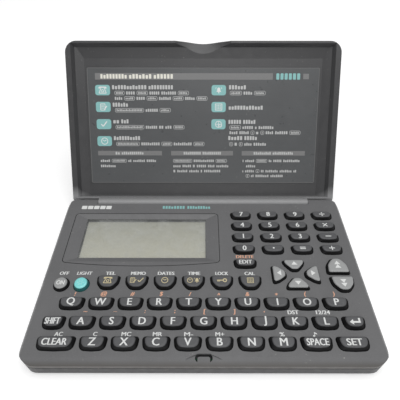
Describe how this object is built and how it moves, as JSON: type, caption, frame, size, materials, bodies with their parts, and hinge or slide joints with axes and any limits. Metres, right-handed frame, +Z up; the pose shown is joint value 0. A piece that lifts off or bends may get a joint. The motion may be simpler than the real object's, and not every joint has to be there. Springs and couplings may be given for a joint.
{
  "type": "personal digital assistant",
  "caption": "Folding pocket organiser with a full letter keyboard, number pad, cursor keys and a small display under a hinged lid with a printed guide card.",
  "frame": {"origin": "centre of the case's flat underside, which rests on the table", "axes": "+X to the user's right along the hinge, +Y to the hinge at the back, +Z up; the lid is stored open at 126 degrees from closed"},
  "size_m": [0.136, 0.1321, 0.0708],
  "materials": {
    "case": "fine spark-eroded grain, dark grey",
    "lid": "fine spark-eroded grain, darker grey",
    "card": "printed film on a thin sheet",
    "dark_key": "satin moulded key top with near-black sides",
    "grey_key": "satin light grey key top",
    "light_key": "translucent teal rubber",
    "window": "clear hard-coated plastic lens",
    "lcd": "grey-green reflective liquid crystal panel",
    "backlight": "pale luminescent sheet",
    "connector_rubber": "striped elastomer connector",
    "board": "green solder mask",
    "chip": "moulded black epoxy",
    "mat_rubber": "silicone rubber",
    "brass": "bare disc",
    "steel": "nickel-plated steel"
  },
  "bodies": {
    "case": {"bottom_case": "case", "top_case": "case", "display_bezel": "case", "display_window": "window", "lcd_panel": "lcd", "backlight_panel": "backlight", "display_connector": "connector_rubber", "circuit_board": "board", "board_parts": "chip", "key_mat": "mat_rubber", "buzzer": "brass", "coin_cells": "steel", "battery_contacts": "steel", "case_screws": "steel", "hinge_pins": "steel"},
    "lid": {"lid": "lid", "lid_card": "card"},
    "battery_cover": {"battery_cover": "case"},
    "number_keys": {"number_keys": "dark_key"},
    "function_keys": {"function_keys": "dark_key"},
    "key_z": {"key_z": "dark_key"},
    "key_x": {"key_x": "dark_key"},
    "key_c": {"key_c": "dark_key"},
    "key_v": {"key_v": "dark_key"},
    "key_b": {"key_b": "dark_key"},
    "key_n": {"key_n": "dark_key"},
    "key_m": {"key_m": "dark_key"},
    "key_a": {"key_a": "dark_key"},
    "key_s": {"key_s": "dark_key"},
    "key_d": {"key_d": "dark_key"},
    "key_f": {"key_f": "dark_key"},
    "key_g": {"key_g": "dark_key"},
    "key_h": {"key_h": "dark_key"},
    "key_j": {"key_j": "dark_key"},
    "key_k": {"key_k": "dark_key"},
    "key_l": {"key_l": "dark_key"},
    "key_q": {"key_q": "dark_key"},
    "key_w": {"key_w": "dark_key"},
    "key_e": {"key_e": "dark_key"},
    "key_r": {"key_r": "dark_key"},
    "key_t": {"key_t": "dark_key"},
    "key_y": {"key_y": "dark_key"},
    "key_u": {"key_u": "dark_key"},
    "key_i": {"key_i": "dark_key"},
    "key_o": {"key_o": "dark_key"},
    "key_p": {"key_p": "dark_key"},
    "key_shift": {"key_shift": "dark_key"},
    "key_enter": {"key_enter": "dark_key"},
    "key_clear": {"key_clear": "dark_key"},
    "key_space": {"key_space": "dark_key"},
    "key_set": {"key_set": "dark_key"},
    "key_edit": {"key_edit": "dark_key"},
    "key_on": {"key_on": "grey_key"},
    "key_light": {"key_light": "light_key"},
    "key_up": {"key_up": "grey_key"},
    "key_down": {"key_down": "grey_key"},
    "key_left": {"key_left": "grey_key"},
    "key_right": {"key_right": "grey_key"},
    "key_page_up": {"key_page_up": "grey_key"},
    "key_page_down": {"key_page_down": "grey_key"}
  },
  "joints": [
    {"name": "battery_cover_slide", "type": "slide", "parent": "case", "child": "battery_cover", "axis": [0, 1, 0], "range_m": [0, 0.005]},
    {"name": "lid_hinge", "type": "hinge", "parent": "case", "child": "lid", "pos_m": [0, 0.0394, 0.008], "axis": [-1, 0, 0], "range_deg": [-126, 19]},
    {"name": "press_number_keys", "type": "slide", "parent": "case", "child": "number_keys", "axis": [0, 0, -1], "range_m": [0, 0.0008], "stiffness_N_per_m": 4000},
    {"name": "press_function_keys", "type": "slide", "parent": "case", "child": "function_keys", "axis": [0, 0, -1], "range_m": [0, 0.0008], "stiffness_N_per_m": 2000},
    {"name": "press_z", "type": "slide", "parent": "case", "child": "key_z", "axis": [0, 0, -1], "range_m": [0, 0.0008], "stiffness_N_per_m": 700},
    {"name": "press_x", "type": "slide", "parent": "case", "child": "key_x", "axis": [0, 0, -1], "range_m": [0, 0.0008], "stiffness_N_per_m": 700},
    {"name": "press_c", "type": "slide", "parent": "case", "child": "key_c", "axis": [0, 0, -1], "range_m": [0, 0.0008], "stiffness_N_per_m": 700},
    {"name": "press_v", "type": "slide", "parent": "case", "child": "key_v", "axis": [0, 0, -1], "range_m": [0, 0.0008], "stiffness_N_per_m": 700},
    {"name": "press_b", "type": "slide", "parent": "case", "child": "key_b", "axis": [0, 0, -1], "range_m": [0, 0.0008], "stiffness_N_per_m": 700},
    {"name": "press_n", "type": "slide", "parent": "case", "child": "key_n", "axis": [0, 0, -1], "range_m": [0, 0.0008], "stiffness_N_per_m": 700},
    {"name": "press_m", "type": "slide", "parent": "case", "child": "key_m", "axis": [0, 0, -1], "range_m": [0, 0.0008], "stiffness_N_per_m": 700},
    {"name": "press_a", "type": "slide", "parent": "case", "child": "key_a", "axis": [0, 0, -1], "range_m": [0, 0.0008], "stiffness_N_per_m": 700},
    {"name": "press_s", "type": "slide", "parent": "case", "child": "key_s", "axis": [0, 0, -1], "range_m": [0, 0.0008], "stiffness_N_per_m": 700},
    {"name": "press_d", "type": "slide", "parent": "case", "child": "key_d", "axis": [0, 0, -1], "range_m": [0, 0.0008], "stiffness_N_per_m": 700},
    {"name": "press_f", "type": "slide", "parent": "case", "child": "key_f", "axis": [0, 0, -1], "range_m": [0, 0.0008], "stiffness_N_per_m": 700},
    {"name": "press_g", "type": "slide", "parent": "case", "child": "key_g", "axis": [0, 0, -1], "range_m": [0, 0.0008], "stiffness_N_per_m": 700},
    {"name": "press_h", "type": "slide", "parent": "case", "child": "key_h", "axis": [0, 0, -1], "range_m": [0, 0.0008], "stiffness_N_per_m": 700},
    {"name": "press_j", "type": "slide", "parent": "case", "child": "key_j", "axis": [0, 0, -1], "range_m": [0, 0.0008], "stiffness_N_per_m": 700},
    {"name": "press_k", "type": "slide", "parent": "case", "child": "key_k", "axis": [0, 0, -1], "range_m": [0, 0.0008], "stiffness_N_per_m": 700},
    {"name": "press_l", "type": "slide", "parent": "case", "child": "key_l", "axis": [0, 0, -1], "range_m": [0, 0.0008], "stiffness_N_per_m": 700},
    {"name": "press_q", "type": "slide", "parent": "case", "child": "key_q", "axis": [0, 0, -1], "range_m": [0, 0.0008], "stiffness_N_per_m": 700},
    {"name": "press_w", "type": "slide", "parent": "case", "child": "key_w", "axis": [0, 0, -1], "range_m": [0, 0.0008], "stiffness_N_per_m": 700},
    {"name": "press_e", "type": "slide", "parent": "case", "child": "key_e", "axis": [0, 0, -1], "range_m": [0, 0.0008], "stiffness_N_per_m": 700},
    {"name": "press_r", "type": "slide", "parent": "case", "child": "key_r", "axis": [0, 0, -1], "range_m": [0, 0.0008], "stiffness_N_per_m": 700},
    {"name": "press_t", "type": "slide", "parent": "case", "child": "key_t", "axis": [0, 0, -1], "range_m": [0, 0.0008], "stiffness_N_per_m": 700},
    {"name": "press_y", "type": "slide", "parent": "case", "child": "key_y", "axis": [0, 0, -1], "range_m": [0, 0.0008], "stiffness_N_per_m": 700},
    {"name": "press_u", "type": "slide", "parent": "case", "child": "key_u", "axis": [0, 0, -1], "range_m": [0, 0.0008], "stiffness_N_per_m": 700},
    {"name": "press_i", "type": "slide", "parent": "case", "child": "key_i", "axis": [0, 0, -1], "range_m": [0, 0.0008], "stiffness_N_per_m": 700},
    {"name": "press_o", "type": "slide", "parent": "case", "child": "key_o", "axis": [0, 0, -1], "range_m": [0, 0.0008], "stiffness_N_per_m": 700},
    {"name": "press_p", "type": "slide", "parent": "case", "child": "key_p", "axis": [0, 0, -1], "range_m": [0, 0.0008], "stiffness_N_per_m": 700},
    {"name": "press_shift", "type": "slide", "parent": "case", "child": "key_shift", "axis": [0, 0, -1], "range_m": [0, 0.0008], "stiffness_N_per_m": 700},
    {"name": "press_enter", "type": "slide", "parent": "case", "child": "key_enter", "axis": [0, 0, -1], "range_m": [0, 0.0008], "stiffness_N_per_m": 700},
    {"name": "press_clear", "type": "slide", "parent": "case", "child": "key_clear", "axis": [0, 0, -1], "range_m": [0, 0.0008], "stiffness_N_per_m": 700},
    {"name": "press_space", "type": "slide", "parent": "case", "child": "key_space", "axis": [0, 0, -1], "range_m": [0, 0.0008], "stiffness_N_per_m": 700},
    {"name": "press_set", "type": "slide", "parent": "case", "child": "key_set", "axis": [0, 0, -1], "range_m": [0, 0.0008], "stiffness_N_per_m": 700},
    {"name": "press_edit", "type": "slide", "parent": "case", "child": "key_edit", "axis": [0, 0, -1], "range_m": [0, 0.0008], "stiffness_N_per_m": 700},
    {"name": "press_on", "type": "slide", "parent": "case", "child": "key_on", "axis": [0, 0, -1], "range_m": [0, 0.0008], "stiffness_N_per_m": 700},
    {"name": "press_light", "type": "slide", "parent": "case", "child": "key_light", "axis": [0, 0, -1], "range_m": [0, 0.0008], "stiffness_N_per_m": 700},
    {"name": "press_up", "type": "slide", "parent": "case", "child": "key_up", "axis": [0, 0, -1], "range_m": [0, 0.0008], "stiffness_N_per_m": 700},
    {"name": "press_down", "type": "slide", "parent": "case", "child": "key_down", "axis": [0, 0, -1], "range_m": [0, 0.0008], "stiffness_N_per_m": 700},
    {"name": "press_left", "type": "slide", "parent": "case", "child": "key_left", "axis": [0, 0, -1], "range_m": [0, 0.0008], "stiffness_N_per_m": 700},
    {"name": "press_right", "type": "slide", "parent": "case", "child": "key_right", "axis": [0, 0, -1], "range_m": [0, 0.0008], "stiffness_N_per_m": 700},
    {"name": "press_page_up", "type": "slide", "parent": "case", "child": "key_page_up", "axis": [0, 0, -1], "range_m": [0, 0.0008], "stiffness_N_per_m": 700},
    {"name": "press_page_down", "type": "slide", "parent": "case", "child": "key_page_down", "axis": [0, 0, -1], "range_m": [0, 0.0008], "stiffness_N_per_m": 700}
  ]
}
